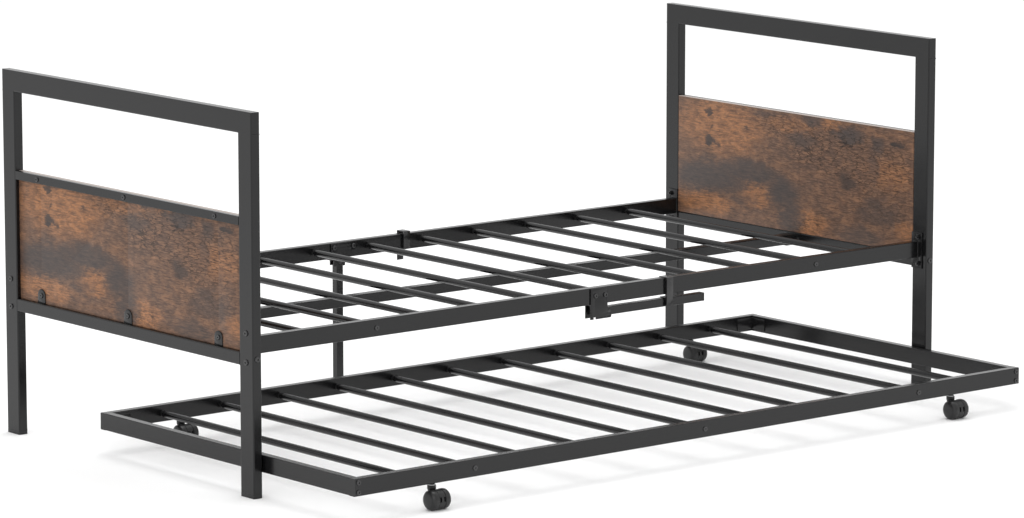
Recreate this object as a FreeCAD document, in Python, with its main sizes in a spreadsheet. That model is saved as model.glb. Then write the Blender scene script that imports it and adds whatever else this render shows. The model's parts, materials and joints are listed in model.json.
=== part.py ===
import FreeCAD, Part
import math
import os
import Sketcher

# A metal day bed with a trundle that rolls out from under it.
# The origin is on the floor, under the middle of the bed and the pulled-out trundle together.
# +X runs along the bed to its right end, +Y runs to the back, +Z is up.  Sizes are millimetres.

Vector = FreeCAD.Vector
Rotation = FreeCAD.Rotation

SIZES = {
    # overall, and how far the trundle stands out in front of the bed
    "bed_length": 2100,
    "bed_width": 980,
    "bed_height": 870,
    "trundle_reach": 331,
    # rectangular steel tube of the end frames
    "post_wide": 50,
    "post_thick": 24,
    "tube_wall": 1.5,
    "tube_round": 3,
    "foot_high": 10,
    "plug_high": 15,
    "plug_play": 0.2,
    "end_plate": 3,
    # crossbars, wood panel and the tabs that hold its lower edge
    "upper_bar_mid": 623,
    "upper_bar_high": 20,
    "upper_bar_thick": 10,
    "lower_bar_mid": 313,
    "lower_bar_high": 30,
    "panel_thick": 14,
    "panel_play": 0.5,
    "tab_wide": 30,
    "tab_rise": 19,
    "tab_thick": 2,
    "screw_pitch": 350,
    "bar_screw_long": 20,
    "tab_screw_long": 13,
    # side rails, their end plates and bolts
    "rail_wide": 20,
    "rail_high": 40,
    "rail_mid": 342,
    "rail_inset": 28,
    "plate_wide": 36,
    "plate_high": 90,
    "plate_inset": 14,
    "plate_mid": 340,
    "bolt_pitch": 66,
    "crossbar_bolt_mid": 316,
    "rail_screw_at": 679,
    # slats
    "slat_count": 11,
    "slat_round": 16,
    "slat_wall": 1,
    "slat_pitch": 170,
    "slat_mid": 345,
    "neck_long": 10,
    "neck_round": 13,
    "spigot_long": 15,
    # beam under the middle of the slats and the brackets that carry it
    "beam_wide": 25,
    "beam_mid": 311.5,
    "beam_play": 0.5,
    "bracket_thick": 2,
    "bracket_long": 32,
    "bracket_wide": 62,
    "bracket_screw_in": 8,
    # folding support legs
    "leg_deep": 20,
    "leg_wide": 19,
    "pivot_round": 8,
    "front_pivot_x": 13.5,
    "front_pivot_z": 302.5,
    "rear_pivot_x": -88,
    "rear_pivot_z": 311,
    "leg_foot": 8,
    "leg_plug": 12,
    "cheek_thick": 3,
    # spring clips for the folded legs
    "clip_thick": 1.5,
    "clip_wide": 20,
    "clip_stand": 7,
    "clip_play": 0.2,
    "clip_low": 293.5,
    "clip_jaw": 313,
    "clip_lip_low": 327,
    "clip_rise": 6,
    "front_clip_x": 200,
    "rear_clip_x": 118,
    # trundle
    "trundle_length": 2044,
    "trundle_width": 965,
    "trundle_low": 57,
    "trundle_slat_pitch": 172,
    "corner_bolt_pitch": 22,
    "trundle_screw_at": 684,
    "corner_leg": 50,
    "corner_high": 30,
    # casters
    "caster_x": 800,
    "wheel_round": 46,
    "caster_trail": 19,
    "swivel_gap": 0.3,
    "caster_neck_round": 17.2,
    "caster_neck_low": 26,
    "caster_collar_round": 20,
    "caster_collar_low": 46.3,
    "stem_round": 10,
    "stem_ring_round": 18,
    "stem_ring_high": 4,
    "stem_below": 27,
    "stem_above": 33,
    "axle_round": 6,
    "axle_long": 46,
    "running_play": 0.1,
    "wheel_gap": 18,
    "wheel_bevel": 1.5,
    "wheel_face": 27,
    "wheel_web": 3.8,
    # fasteners
    "head_high": 3,
    "bolt_round": 6,
    "screw_round": 4,
    "bore_play": 0.1,
}

doc = FreeCAD.newDocument("trundle_bed")
sheet = doc.addObject("Spreadsheet::Sheet", "dims")
for row, (alias, size) in enumerate(SIZES.items(), start=1):
    sheet.set(f"A{row}", alias)
    sheet.set(f"B{row}", str(size))
    sheet.setAlias(f"B{row}", alias)
doc.recompute()
probe = doc.addObject("App::FeaturePython", "probe")
nodes = []

# Directions a piece can be turned to: its own +Z is laid along the one named.
FACING = {
    "+x": Rotation(Vector(0, 1, 0), 90),
    "-x": Rotation(Vector(0, 1, 0), -90),
    "+y": Rotation(Vector(1, 0, 0), -90),
    "-y": Rotation(Vector(1, 0, 0), 90),
    "+z": Rotation(),
    "-z": Rotation(Vector(1, 0, 0), 180),
}
OPPOSITE = {"+x": "-x", "-x": "+x", "+y": "-y", "-y": "+y", "+z": "-z", "-z": "+z"}
# A tube's section is drawn on its own X and Y and runs along its own Z.
ALONG_X = Rotation(Vector(1, 1, 1), 120)    # the section's X and Y become Y and Z
ALONG_Y = Rotation(Vector(1, 1, 1), 240)    # the section's X and Y become Z and X
ALONG_Z = Rotation()


# ------------------------------------------------------------------ helpers
def number(expression):
    """The value of an expression on the sheet's cells, or of a plain number."""
    return float(probe.evalExpression(str(expression)))


def half(expression):
    return f"(({expression}) / 2)"


def node(thing, label):
    """Name a finished sub-part and keep it for export."""
    thing.Label = label
    nodes.append(thing)
    return thing


def place(thing, at, turn=ALONG_Z):
    """Turn a thing and bind the place of its own origin."""
    thing.Placement = FreeCAD.Placement(Vector(*[number(value) for value in at]), turn)
    for axis, value in zip("xyz", at):
        thing.setExpression(f"Placement.Base.{axis}", str(value))
    return thing


def sketch_on(body, role, lift=None):
    """A sketch on one of the body's own origin planes."""
    sketch = body.newObject("Sketcher::SketchObject", body.Name + "_sketch")
    plane = next(item for item in body.Origin.OriginFeatures if item.Role == role)
    sketch.AttachmentSupport = [(plane, "")]
    sketch.MapMode = "FlatFace"
    if lift is not None:
        sketch.setExpression("AttachmentOffset.Base.z", lift)
    return sketch


def bind(sketch, *terms, expression):
    """A dimension whose value is an expression on the sheet."""
    index = sketch.addConstraint(Sketcher.Constraint(*terms, number(expression)))
    sketch.setExpression(f"Constraints[{index}]", str(expression))


def polygon(sketch, corners):
    """A closed outline whose every corner is bound to the sheet."""
    points = [Vector(number(x), number(y), 0) for x, y in corners]
    first = sketch.GeometryCount
    count = len(points)
    for index, point in enumerate(points):
        sketch.addGeometry(Part.LineSegment(point, points[(index + 1) % count]), False)
    for index, (x, y) in enumerate(corners):
        after = first + (index + 1) % count
        sketch.addConstraint(Sketcher.Constraint("Coincident", first + index, 2, after, 1))
    for index, (x, y) in enumerate(corners):
        bind(sketch, "DistanceX", -1, 1, first + index, 1, expression=x)
        bind(sketch, "DistanceY", -1, 1, first + index, 1, expression=y)


def rectangle(sketch, wide, high):
    """A rectangle centred on the sketch's origin."""
    x, y = half(wide), half(high)
    polygon(sketch, [(f"-{x}", f"-{y}"), (x, f"-{y}"), (x, y), (f"-{x}", y)])


def circle(sketch, radius):
    """A circle centred on the sketch's origin."""
    index = sketch.addGeometry(Part.Circle(Vector(), Vector(0, 0, 1), number(radius)), False)
    sketch.addConstraint(Sketcher.Constraint("Coincident", index, 3, -1, 1))
    bind(sketch, "Radius", index, expression=radius)


def pad(body, sketch, long, both_ways=True):
    feature = body.newObject("PartDesign::Pad", body.Name + "_pad")
    feature.Profile = sketch
    feature.Midplane = both_ways
    feature.setExpression("Length", str(long))
    return feature


def pocket_through(body, sketch):
    feature = body.newObject("PartDesign::Pocket", body.Name + "_pocket")
    feature.Profile = sketch
    feature.Type = "ThroughAll"
    feature.Midplane = True
    return feature


def round_edges(body, wanted, radius):
    """Round the edges of the body's last feature that pass the test."""
    doc.recompute()
    base = body.Tip
    names = [f"Edge{index}" for index, edge in enumerate(base.Shape.Edges, start=1) if wanted(edge)]
    feature = body.newObject("PartDesign::Fillet", body.Name + "_rounding")
    feature.Base = (base, names)
    feature.setExpression("Radius", str(radius))
    return feature


def tube(label, wide, deep, run, at, turn, wall="dims.tube_wall", rounding="dims.tube_round"):
    """A rectangular tube, centred on its own origin, or a solid bar when wall is None."""
    body = doc.addObject("PartDesign::Body", label)
    sketch = sketch_on(body, "XY_Plane")
    rectangle(sketch, wide, deep)
    if wall is not None:
        rectangle(sketch, f"{wide} - 2 * {wall}", f"{deep} - 2 * {wall}")
    pad(body, sketch, run)
    if rounding is not None:
        corner = Vector(number(wide) / 2, number(deep) / 2, 0)

        def outer_corner(edge):
            middle = edge.CenterOfMass
            on_corner = abs(abs(middle.x) - corner.x) < 0.01 and abs(abs(middle.y) - corner.y) < 0.01
            return on_corner and edge.Length > 1

        round_edges(body, outer_corner, rounding)
    return place(body, at, turn)


def block(label, at, size):
    """A box placed by its middle."""
    box = doc.addObject("Part::Box", label)
    for name, value in zip(("Length", "Width", "Height"), size):
        box.setExpression(name, str(value))
    return place(box, [f"{middle} - {half(value)}" for middle, value in zip(at, size)])


def rod(label, at, facing, radius, long):
    """A cylinder that starts at a point and runs the way it faces."""
    cylinder = doc.addObject("Part::Cylinder", label)
    cylinder.setExpression("Radius", str(radius))
    cylinder.setExpression("Height", str(long))
    return place(cylinder, at, FACING[facing])


def outline_plate(label, corners, thick, at):
    """A plate cut to an outline drawn on X and Z, with its thickness centred on Y."""
    body = doc.addObject("PartDesign::Body", label)
    sketch = sketch_on(body, "XZ_Plane")
    polygon(sketch, corners)
    pad(body, sketch, thick)
    return place(body, at)


def turned(label, corners, rim=None, rounding=None):
    """A piece turned about its own Z from an outline of radius and height."""
    body = doc.addObject("PartDesign::Body", label)
    sketch = sketch_on(body, "XZ_Plane")
    polygon(sketch, corners)
    feature = body.newObject("PartDesign::Revolution", label + "_turning")
    feature.Profile = sketch
    feature.ReferenceAxis = (sketch, ["V_Axis"])
    feature.Angle = 360
    if rim is not None:
        radius, height = number(rim[0]), number(rim[1])

        def on_rim(edge):
            curve = edge.Curve
            if not isinstance(curve, Part.Circle):
                return False
            return abs(curve.Radius - radius) < 0.01 and abs(curve.Center.z - height) < 0.01

        round_edges(body, on_rim, rounding)
    return body


def joined(kind, label, members):
    """A fusion or a compound of several things."""
    thing = doc.addObject(kind, label)
    field = "Links" if kind == "Part::Compound" else "Shapes"
    setattr(thing, field, members)
    return thing


def cut(label, base, tool):
    thing = doc.addObject("Part::Cut", label)
    thing.Base = base
    thing.Tool = tool
    return thing


def copies(label, master, spots):
    """One linked copy of a master at each spot, as a compound."""
    links = []
    for index, (x, y, z, facing) in enumerate(spots, start=1):
        link = doc.addObject("App::Link", f"{label}_{index}")
        link.LinkedObject = master
        links.append(place(link, (x, y, z), FACING[facing]))
    return joined("Part::Compound", label, links)


def bores(label, spots, radius, long):
    """Drills that enter at each spot, against the way the fastener's head faces."""
    drills = []
    for index, (x, y, z, facing) in enumerate(spots, start=1):
        drills.append(rod(f"{label}_{index}", (x, y, z), OPPOSITE[facing], radius, long))
    return joined("Part::Compound", label, drills)


def fastener(label, head_round, head_high, shank_round, shank_long, key):
    """A button-head bolt or screw: its bearing face is on its own origin, its head is above."""
    rim, neck = half(head_round), half(shank_round)
    corners = [(0, f"-{shank_long}"), (neck, f"-{shank_long}"), (neck, 0)]
    corners += [(rim, 0), (rim, head_high), (0, head_high)]
    body = turned(label, corners, (rim, head_high), 0.75 * head_high)
    doc.recompute()
    before = body.Shape.Volume
    sketch = sketch_on(body, "XY_Plane", lift=str(head_high))
    spokes = [math.radians(60 * step) for step in range(6)]
    polygon(sketch, [(key / 2 * math.cos(spoke), key / 2 * math.sin(spoke)) for spoke in spokes])
    recess = body.newObject("PartDesign::Pocket", label + "_key")
    recess.Profile = sketch
    recess.Length = 0.6 * head_high
    doc.recompute()
    assert body.Shape.Volume < before, f"{label}: the key recess cut nothing"
    return body


# ------------------------------------------------------------------ shared places
# The front caster wheels and the bolt heads at the back are the outermost things along Y.
WHEEL_OVERHANG = "(dims.caster_trail + dims.wheel_round / 2 - dims.rail_wide / 2)"
MID_Y = f"((dims.trundle_reach + {WHEEL_OVERHANG} - dims.head_high) / 2)"
FRAME_MID = "(dims.post_thick / 2)"
BAR_RUN = "(dims.bed_width - 2 * dims.post_wide)"
RAIL_RUN = "(dims.bed_length - 2 * dims.post_thick - 2 * dims.end_plate)"
RAIL_INNER = "(dims.rail_inset + dims.rail_wide)"
PANEL_TOP = "(dims.upper_bar_mid + dims.upper_bar_high / 2)"
PANEL_LOW = "(dims.lower_bar_mid + dims.lower_bar_high / 2)"
TRUNDLE_MID_Y = f"({MID_Y} - dims.bed_width / 2 - dims.trundle_reach + dims.trundle_width / 2)"
TRUNDLE_RAIL_Z = "(dims.trundle_low + dims.rail_high / 2)"
TRUNDLE_GAP = "(dims.trundle_width - 2 * dims.rail_wide)"
WHEEL_RADIUS = "(dims.wheel_round / 2)"
BOLT_BORE = "(dims.bolt_round / 2 + dims.bore_play / 2)"
SCREW_BORE = "(dims.screw_round / 2 + dims.bore_play / 2)"
SIDES = {"left": (-1, "-x"), "right": (1, "+x")}
ENDS = {"front": (-1, "-y"), "rear": (1, "+y")}


def along(side, inward):
    """X of a place so far in from the outer face of the left (-1) or right (1) end frame."""
    return f"{side} * (dims.bed_length / 2 - {inward})"


def across(end, inward):
    """Y of a place so far in from the front (-1) or rear (1) face of the bed."""
    return f"{MID_Y} + {end} * (dims.bed_width / 2 - {inward})"


def trundle_across(end, inward):
    """Y of a place so far in from the front (-1) or rear (1) face of the trundle."""
    return f"{TRUNDLE_MID_Y} + {end} * (dims.trundle_width / 2 - {inward})"


def trundle_along(side, inward):
    """X of a place so far in from the left (-1) or right (1) end of the trundle."""
    return f"{side} * (dims.trundle_length / 2 - {inward})"


# ------------------------------------------------------------------ where the fasteners go
rail_bolt_spots = []
rail_nut_spots = []
crossbar_bolt_spots = []
for side, outward in SIDES.values():
    for end, facing in ENDS.values():
        bolt_x, bolt_y = along(side, FRAME_MID), across(end, 0)
        crossbar_bolt_spots.append((bolt_x, bolt_y, "dims.crossbar_bolt_mid", facing))
        for step in (-1, 1):
            height = f"dims.plate_mid + {step} * dims.bolt_pitch / 2"
            middle = across(end, half("dims.post_wide"))
            rail_bolt_spots.append((along(side, 0), middle, height, outward))
            nut_x = along(side, "(dims.post_thick + dims.end_plate)")
            rail_nut_spots.append((nut_x, middle, height, OPPOSITE[outward]))

upper_screw_spots = []
lower_screw_spots = []
tab_spots = []
for side, outward in SIDES.values():
    for step in (-1, 0, 1):
        y = f"{MID_Y} + {step} * dims.screw_pitch"
        upper_screw_spots.append((along(side, 0), y, "dims.upper_bar_mid", outward))
        tab_face = "(dims.upper_bar_thick - dims.tab_thick)"
        lower_screw_spots.append((along(side, tab_face), y, f"{PANEL_LOW} + dims.tab_rise", outward))
        tab_low_x = along(side, tab_face) if side < 0 else along(side, "dims.upper_bar_thick")
        tab_spots.append((tab_low_x, y, PANEL_LOW))

rail_screw_spots = []
for end, facing in ENDS.values():
    for step in (-1, 1):
        face = across(end, "dims.rail_inset")
        rail_screw_spots.append((f"{step} * dims.rail_screw_at", face, "dims.rail_mid", facing))

slat_steps = range(-(SIZES["slat_count"] // 2), SIZES["slat_count"] // 2 + 1)
slat_plug_spots = []
trundle_plug_spots = []
for end, facing in ENDS.values():
    for step in slat_steps:
        place_x = f"{step} * dims.slat_pitch"
        slat_plug_spots.append((place_x, across(end, RAIL_INNER), "dims.slat_mid", OPPOSITE[facing]))
        place_x = f"{step} * dims.trundle_slat_pitch"
        place_y = trundle_across(end, "dims.rail_wide")
        trundle_plug_spots.append((place_x, place_y, TRUNDLE_RAIL_Z, OPPOSITE[facing]))

corner_bolt_spots = []
trundle_screw_spots = []
caster_spots = {}
for end_name, (end, facing) in ENDS.items():
    face = trundle_across(end, 0)
    for side_name, (side, outward) in SIDES.items():
        for step in (-1, 1):
            height = f"{TRUNDLE_RAIL_Z} + {step} * dims.corner_bolt_pitch / 2"
            corner_bolt_spots.append((trundle_along(side, half("dims.rail_wide")), face, height, facing))
        middle = trundle_across(end, half("dims.rail_wide"))
        caster_spots[f"{end_name}_{side_name}"] = (f"{side} * dims.caster_x", middle)
    for step in (-1, 0, 1):
        trundle_screw_spots.append((f"{step} * dims.trundle_screw_at", face, TRUNDLE_RAIL_Z, facing))

# Both pivot pins have their head at the back, where nobody sees it.
OUTER_CHEEK = "(dims.rail_inset - dims.cheek_thick)"
INNER_CHEEK = f"({RAIL_INNER} + dims.cheek_thick)"
PIN_LONG = "(dims.rail_wide + 2 * dims.cheek_thick)"
pivot_spots = [
    ("dims.front_pivot_x", across(-1, INNER_CHEEK), "dims.front_pivot_z", "+y"),
    ("dims.rear_pivot_x", across(1, OUTER_CHEEK), "dims.rear_pivot_z", "+y"),
]
bracket_bolt_spots = []
for x, z in ((-29, 343), (1, 343)):
    bracket_bolt_spots.append((x, across(-1, OUTER_CHEEK), z, "-y"))
for x, z in ((-108, 350), (-48, 350)):
    bracket_bolt_spots.append((x, across(1, INNER_CHEEK), z, "-y"))
beam_bolt_spots = []
for side, outward in SIDES.values():
    for step in (-1, 1):
        face = along(side, "(dims.post_thick + dims.bracket_thick)")
        y = f"{MID_Y} + {step} * (dims.bracket_wide / 2 - dims.bracket_screw_in)"
        beam_bolt_spots.append((face, y, "dims.lower_bar_mid", OPPOSITE[outward]))

# ------------------------------------------------------------------ drills
frame_bores = bores("frame_bores", rail_bolt_spots, BOLT_BORE, 40)
crossbar_bores = bores("crossbar_bores", crossbar_bolt_spots, BOLT_BORE, 66)
upper_screw_bores = bores("upper_screw_bores", upper_screw_spots, SCREW_BORE, "(dims.bar_screw_long + 1)")
lower_screw_bores = bores("lower_screw_bores", lower_screw_spots, SCREW_BORE, "(dims.tab_screw_long + 1)")
beam_bores = bores("beam_bores", beam_bolt_spots, SCREW_BORE, 14)
rail_screw_bores = bores("rail_screw_bores", rail_screw_spots, SCREW_BORE, 12)
plug_bores = bores("plug_bores", slat_plug_spots, BOLT_BORE, 8)
trundle_plug_bores = bores("trundle_plug_bores", trundle_plug_spots, BOLT_BORE, 8)
bracket_bores = bores("bracket_bores", bracket_bolt_spots, BOLT_BORE, 14)
pivot_bores = bores("pivot_bores", pivot_spots, "(dims.pivot_round / 2 + dims.bore_play / 2)", PIN_LONG)
corner_bores = bores("corner_bores", corner_bolt_spots, BOLT_BORE, 36)
trundle_screw_bores = bores("trundle_screw_bores", trundle_screw_spots, SCREW_BORE, 12)
stem_spots = [(x, y, 0, "-z") for x, y in caster_spots.values()]
stem_bores = bores("stem_bores", stem_spots, "(dims.stem_round / 2 + dims.bore_play / 2)", 70)
panel_tools = joined("Part::Compound", "panel_tools", [upper_screw_bores, lower_screw_bores])
post_tools = joined("Part::Compound", "post_tools", [frame_bores, crossbar_bores])
lower_bar_tools = joined("Part::Compound", "lower_bar_tools", [crossbar_bores, beam_bores])
rail_tools = joined("Part::Compound", "rail_tools", [rail_screw_bores, plug_bores, bracket_bores])
trundle_tools = joined(
    "Part::Compound", "trundle_tools", [trundle_plug_bores, corner_bores, trundle_screw_bores, stem_bores]
)


# ------------------------------------------------------------------ end frames
def post(side_name, end_name):
    """An upright tube whose top is mitred to meet the top bar."""
    side, end = SIDES[side_name][0], ENDS[end_name][0]
    label = f"{side_name}_end_{end_name}_post"
    run = "(dims.bed_height - dims.foot_high)"
    at = (along(side, FRAME_MID), across(end, half("dims.post_wide")), f"dims.foot_high + {half(run)}")
    turn = ALONG_Z if end < 0 else Rotation(Vector(0, 0, 1), 180)
    body = tube(label + "_tube", "dims.post_thick", "dims.post_wide", run, at, turn)
    sketch = sketch_on(body, "YZ_Plane")
    y, top = half("dims.post_wide"), half(run)
    polygon(sketch, [(f"-{y}", top), (y, f"{top} - dims.post_wide"), (y, top)])
    doc.recompute()
    before = body.Shape.Volume
    pocket_through(body, sketch)
    doc.recompute()
    assert body.Shape.Volume < before, f"{label}: the mitre cut nothing"
    node(cut(label, body, post_tools), label)


def top_bar(side_name):
    """The bar across the top of an end frame, mitred at both ends."""
    side = SIDES[side_name][0]
    label = f"{side_name}_end_top_bar"
    run = "dims.bed_width"
    at = (along(side, FRAME_MID), MID_Y, "dims.bed_height - dims.post_wide / 2")
    body = tube(label, "dims.post_wide", "dims.post_thick", run, at, ALONG_Y)
    x, tip = half("dims.post_wide"), half(run)
    for way in (-1, 1):
        sketch = sketch_on(body, "XZ_Plane")
        end = f"{way} * {tip}"
        polygon(sketch, [(f"-{x}", end), (x, end), (f"-{x}", f"{end} - {way} * dims.post_wide")])
        doc.recompute()
        before = body.Shape.Volume
        pocket_through(body, sketch)
        doc.recompute()
        assert body.Shape.Volume < before, f"{label}: a mitre cut nothing"
    node(body, label)


def upper_crossbar(side_name):
    side = SIDES[side_name][0]
    label = f"{side_name}_end_upper_crossbar"
    at = (along(side, half("dims.upper_bar_thick")), MID_Y, "dims.upper_bar_mid")
    size = ("dims.upper_bar_high", "dims.upper_bar_thick")
    body = tube(label + "_tube", *size, BAR_RUN, at, ALONG_Y, rounding=1)
    node(cut(label, body, upper_screw_bores), label)


def lower_crossbar(side_name):
    """The deeper crossbar, with a threaded plate welded inside each end."""
    side = SIDES[side_name][0]
    label = f"{side_name}_end_lower_crossbar"
    x = along(side, FRAME_MID)
    size = ("dims.lower_bar_high", "dims.post_thick")
    body = tube(label + "_tube", *size, BAR_RUN, (x, MID_Y, "dims.lower_bar_mid"), ALONG_Y)
    inside = [f"{extent} - 2 * dims.tube_wall" for extent in size]
    plates = []
    for end_name, (end, facing) in ENDS.items():
        y = across(end, f"(dims.post_wide + {half('dims.end_plate')})")
        plate_size = (inside[1], "dims.end_plate", inside[0])
        plates.append(block(f"{label}_{end_name}_plate", (x, y, "dims.lower_bar_mid"), plate_size))
    welded = joined("Part::MultiFuse", label + "_welded", [body, *plates])
    node(cut(label, welded, lower_bar_tools), label)


def wood_panel(side_name):
    """The board between the crossbars, set in behind the outer face."""
    side = SIDES[side_name][0]
    label = f"{side_name}_end_wood_panel"
    x = along(side, f"(dims.upper_bar_thick + {half('dims.panel_thick')})")
    at = (x, MID_Y, half(f"{PANEL_TOP} + {PANEL_LOW}"))
    run = f"({BAR_RUN} - 2 * dims.panel_play)"
    size = (f"({PANEL_TOP} - {PANEL_LOW})", "dims.panel_thick")
    board = tube(label + "_board", *size, run, at, ALONG_Y, wall=None, rounding=1)
    node(cut(label, board, panel_tools), label)


for side_name in SIDES:
    for end_name in ENDS:
        post(side_name, end_name)
    top_bar(side_name)
    upper_crossbar(side_name)
    lower_crossbar(side_name)
    wood_panel(side_name)

# A plastic cap closes each post: a block on the floor and a plug that goes up inside.
caps = []
for side_name, (side, outward) in SIDES.items():
    for end_name, (end, facing) in ENDS.items():
        x, y = along(side, FRAME_MID), across(end, half("dims.post_wide"))
        name = f"{side_name}_{end_name}_foot"
        size = ("dims.post_thick", "dims.post_wide")
        sole = tube(name + "_sole", *size, "dims.foot_high", (x, y, half("dims.foot_high")), ALONG_Z, None)
        inside = [f"{extent} - 2 * dims.tube_wall - dims.plug_play" for extent in size]
        plug_at = (x, y, "dims.foot_high + dims.plug_high / 2")
        plug = block(name + "_plug", plug_at, (*inside, "dims.plug_high"))
        caps.append(joined("Part::MultiFuse", name, [sole, plug]))
node(joined("Part::Compound", "foot_caps", caps), "foot_caps")


def round_top_tab():
    """A steel tab with a half-round top, its outer face on its own +Z side."""
    size = ("dims.tab_rise", "dims.tab_wide", "dims.tab_thick")
    foot = block("tab_foot", ("dims.tab_rise / 2", 0, "-dims.tab_thick / 2"), size)
    crown_at = ("dims.tab_rise", 0, "-dims.tab_thick")
    crown = rod("tab_crown", crown_at, "+z", half("dims.tab_wide"), "dims.tab_thick")
    return joined("Part::MultiFuse", "tab_blank", [foot, crown])


# A tab lies with its own X up the panel, whichever end frame it is on.
tab_blank = round_top_tab()
tabs = []
for index, spot in enumerate(tab_spots, start=1):
    link = doc.addObject("App::Link", f"tab_{index}")
    link.LinkedObject = tab_blank
    tabs.append(place(link, spot, FACING["-x"]))
tab_sheet = joined("Part::Compound", "tab_sheet", tabs)
node(cut("panel_tabs", tab_sheet, lower_screw_bores), "panel_tabs")

bar_screw = fastener("bar_screw", 12, 2.5, "dims.screw_round", "dims.bar_screw_long", 4)
node(copies("crossbar_screws", bar_screw, upper_screw_spots), "crossbar_screws")
tab_screw = fastener("tab_screw", 12, 2.5, "dims.screw_round", "dims.tab_screw_long", 4)
node(copies("tab_screws", tab_screw, lower_screw_spots), "tab_screws")
crossbar_bolt = fastener("crossbar_bolt", 14, SIZES["head_high"], "dims.bolt_round", 60, 5)
node(copies("crossbar_bolts", crossbar_bolt, crossbar_bolt_spots), "crossbar_bolts")

# ------------------------------------------------------------------ side rails
for end_name, (end, facing) in ENDS.items():
    label = f"{end_name}_side_rail"
    at = (0, across(end, f"(dims.rail_inset + {half('dims.rail_wide')})"), "dims.rail_mid")
    body = tube(label + "_tube", "dims.rail_wide", "dims.rail_high", RAIL_RUN, at, ALONG_X, rounding=2)
    node(cut(label, body, rail_tools), label)

plates = []
for side_name, (side, outward) in SIDES.items():
    for end_name, (end, facing) in ENDS.items():
        x = along(side, f"(dims.post_thick + {half('dims.end_plate')})")
        y = across(end, f"(dims.plate_inset + {half('dims.plate_wide')})")
        size = ("dims.end_plate", "dims.plate_wide", "dims.plate_high")
        plates.append(block(f"{side_name}_{end_name}_plate", (x, y, "dims.plate_mid"), size))
plate_sheet = joined("Part::Compound", "plate_sheet", plates)
node(cut("rail_end_plates", plate_sheet, frame_bores), "rail_end_plates")

rail_bolt = fastener("rail_bolt", 14, SIZES["head_high"], "dims.bolt_round", 36, 5)
node(copies("rail_bolts", rail_bolt, rail_bolt_spots), "rail_bolts")


def hex_nut(label, across_flats, high):
    """A nut that stands on its own origin, bored for the bolt."""
    body = doc.addObject("PartDesign::Body", label)
    sketch = sketch_on(body, "XY_Plane")
    spokes = [math.radians(60 * step) for step in range(6)]
    reach = across_flats / math.sqrt(3)
    polygon(sketch, [(reach * math.cos(spoke), reach * math.sin(spoke)) for spoke in spokes])
    circle(sketch, BOLT_BORE)
    pad(body, sketch, high, both_ways=False)
    return body


nut = hex_nut("nut", 10, 5)
node(copies("rail_nuts", nut, rail_nut_spots), "rail_nuts")
rail_screw = fastener("rail_screw", 13, 2.6, "dims.screw_round", 10, 3.5)
node(copies("rail_screws", rail_screw, rail_screw_spots), "rail_screws")


# ------------------------------------------------------------------ slats
def slat_row(label, pitch, run, at):
    """Round tubes side by side, patterned both ways from the middle one."""
    body = doc.addObject("PartDesign::Body", label)
    sketch = sketch_on(body, "XZ_Plane")
    circle(sketch, half("dims.slat_round"))
    circle(sketch, "dims.slat_round / 2 - dims.slat_wall")
    slat = pad(body, sketch, run)
    doc.recompute()
    body.AllowCompound = True
    row = body.newObject("PartDesign::LinearPattern", label + "_row")
    row.Originals = [slat]
    row.Direction = (next(item for item in body.Origin.OriginFeatures if item.Role == "X_Axis"), [""])
    row.setExpression("Occurrences", "dims.slat_count")
    row.setExpression("Length", f"{pitch} * (dims.slat_count - 1)")
    body.Tip = row
    place(body, at)
    node(body, label)


def first_slat(pitch):
    return f"-{pitch} * (dims.slat_count - 1) / 2"


bed_slat_run = f"dims.bed_width - 2 * {RAIL_INNER} - 2 * dims.neck_long"
start = (first_slat("dims.slat_pitch"), MID_Y, "dims.slat_mid")
slat_row("bed_slats", "dims.slat_pitch", bed_slat_run, start)
peg, neck = "dims.bolt_round / 2", half("dims.neck_round")
spigot = "dims.slat_round / 2 - dims.slat_wall - dims.plug_play / 2"
tip = "(dims.neck_long + dims.spigot_long)"
plug_outline = [(0, -6), (peg, -6), (peg, 0), (neck, 0), (neck, "dims.neck_long")]
plug_outline.append((spigot, "dims.neck_long"))
slat_plug = turned("slat_plug", [*plug_outline, (spigot, tip), (0, tip)])
node(copies("bed_slat_end_plugs", slat_plug, slat_plug_spots), "bed_slat_end_plugs")

# ------------------------------------------------------------------ centre beam
beam_run = "(dims.bed_length - 2 * dims.post_thick - 2 * dims.bracket_thick - 2 * dims.beam_play)"
beam_at = (0, MID_Y, "dims.beam_mid")
beam = tube("centre_beam", "dims.beam_wide", "dims.beam_wide", beam_run, beam_at, ALONG_X, rounding=2)
node(beam, "centre_beam")

brackets = []
for side_name, (side, outward) in SIDES.items():
    name = f"{side_name}_beam_bracket"
    back_x = along(side, f"(dims.post_thick + {half('dims.bracket_thick')})")
    back_size = ("dims.bracket_thick", "dims.bracket_wide", "dims.lower_bar_high")
    back = block(name + "_back", (back_x, MID_Y, "dims.lower_bar_mid"), back_size)
    mid_x = along(side, f"(dims.post_thick + {half('dims.bracket_long')})")
    cheek_high = "(dims.beam_wide + dims.bracket_thick)"
    cheek_z = "(dims.beam_mid - dims.bracket_thick / 2)"
    parts = [back]
    for way in (-1, 1):
        y = f"{MID_Y} + {way} * (dims.beam_wide / 2 + dims.bracket_thick / 2)"
        size = ("dims.bracket_long", "dims.bracket_thick", cheek_high)
        parts.append(block(f"{name}_cheek_{way + 1}", (mid_x, y, cheek_z), size))
    floor_z = "dims.beam_mid - dims.beam_wide / 2 - dims.bracket_thick / 2"
    size = ("dims.bracket_long", "dims.beam_wide + 2 * dims.bracket_thick", "dims.bracket_thick")
    parts.append(block(name + "_floor", (mid_x, MID_Y, floor_z), size))
    brackets.append(joined("Part::MultiFuse", name, parts))
bracket_sheet = joined("Part::Compound", "bracket_sheet", brackets)
node(cut("beam_brackets", bracket_sheet, beam_bores), "beam_brackets")
beam_bolt = fastener("beam_bolt", 9, 2.2, "dims.screw_round", 12, 3.5)
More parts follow.
